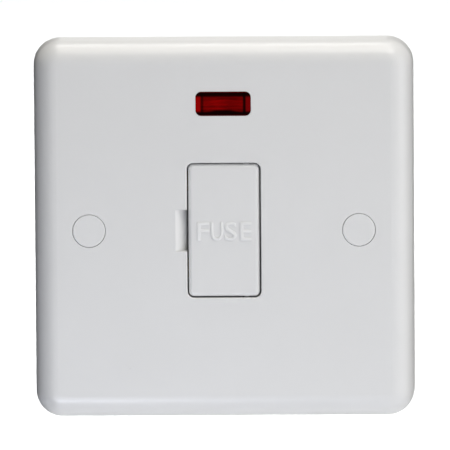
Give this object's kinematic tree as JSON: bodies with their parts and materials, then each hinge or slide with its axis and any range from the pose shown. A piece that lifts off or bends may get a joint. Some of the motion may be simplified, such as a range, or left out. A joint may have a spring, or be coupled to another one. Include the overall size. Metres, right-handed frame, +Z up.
{
  "type": "fused connection unit",
  "caption": "Square white moulded wall plate that feeds a fixed appliance through a hinged cartridge-fuse carrier, with a red neon window, snap-in screw caps and rear cable terminals.",
  "frame": {"origin": "midway between the two fixing holes, on the wall plane that the plate's rim stands on", "axes": "+X to the right as seen from the front, +Y into the wall, +Z up; the front face looks along -Y"},
  "size_m": [0.085, 0.025, 0.085],
  "materials": {
    "plate_moulding": "white urea, satin gloss",
    "carrier_moulding": "white, satin gloss",
    "cap_moulding": "white, satin gloss",
    "base_moulding": "white, fine matt",
    "red_lens": "clear red, ribbed inside",
    "bulb_glass": "clear",
    "resistor_coat": "lacquered",
    "live_sleeve": "brown sleeving",
    "neutral_sleeve": "blue sleeving",
    "terminal_brass": "machined",
    "sheet_brass": "pressed",
    "fuse_cap_metal": "nickel plated",
    "fuse_ceramic": "unglazed",
    "screw_steel": "zinc plated"
  },
  "bodies": {
    "unit": {"front_plate": "plate_moulding", "rear_base": "base_moulding", "supply_fuse_jaw": "sheet_brass", "load_fuse_jaw": "sheet_brass", "supply_live_terminal": "terminal_brass", "load_live_terminal": "terminal_brass", "supply_neutral_terminal": "terminal_brass", "load_neutral_terminal": "terminal_brass", "supply_earth_terminal": "terminal_brass", "load_earth_terminal": "terminal_brass", "neutral_link": "sheet_brass", "earth_link": "sheet_brass", "base_screws": "screw_steel", "neon_lens": "red_lens", "neon_bulb": "bulb_glass", "neon_resistor": "resistor_coat", "neon_live_lead": "live_sleeve", "neon_neutral_lead": "neutral_sleeve"},
    "carrier": {"fuse_carrier": "carrier_moulding", "fuse_barrel": "fuse_ceramic", "fuse_cap_upper": "fuse_cap_metal", "fuse_cap_lower": "fuse_cap_metal"},
    "left_cap": {"left_screw_cap": "cap_moulding"},
    "right_cap": {"right_screw_cap": "cap_moulding"},
    "supply_live_screw": {"supply_live_clamp_screw": "screw_steel"},
    "load_live_screw": {"load_live_clamp_screw": "screw_steel"},
    "supply_neutral_screw": {"supply_neutral_clamp_screw": "screw_steel"},
    "load_neutral_screw": {"load_neutral_clamp_screw": "screw_steel"},
    "supply_earth_screw": {"supply_earth_clamp_screw": "screw_steel"},
    "load_earth_screw": {"load_earth_clamp_screw": "screw_steel"}
  },
  "joints": [
    {"name": "carrier_hinge", "type": "hinge", "parent": "unit", "child": "carrier", "pos_m": [0.00495, -0.0084, 0], "axis": [0, 0, 1], "range_deg": [0, 90]},
    {"name": "left_cap_pull", "type": "slide", "parent": "unit", "child": "left_cap", "axis": [0, -1, 0], "range_m": [0, 0.008]},
    {"name": "right_cap_pull", "type": "slide", "parent": "unit", "child": "right_cap", "axis": [0, -1, 0], "range_m": [0, 0.008]},
    {"name": "supply_live_clamp", "type": "slide", "parent": "unit", "child": "supply_live_screw", "axis": [0, -1, 0], "range_m": [0, 0.0044]},
    {"name": "load_live_clamp", "type": "slide", "parent": "unit", "child": "load_live_screw", "axis": [0, -1, 0], "range_m": [0, 0.0044]},
    {"name": "supply_neutral_clamp", "type": "slide", "parent": "unit", "child": "supply_neutral_screw", "axis": [0, -1, 0], "range_m": [0, 0.0044]},
    {"name": "load_neutral_clamp", "type": "slide", "parent": "unit", "child": "load_neutral_screw", "axis": [0, -1, 0], "range_m": [0, 0.0044]},
    {"name": "supply_earth_clamp", "type": "slide", "parent": "unit", "child": "supply_earth_screw", "axis": [0, -1, 0], "range_m": [0, 0.0044]},
    {"name": "load_earth_clamp", "type": "slide", "parent": "unit", "child": "load_earth_screw", "axis": [0, -1, 0], "range_m": [0, 0.0044]}
  ]
}
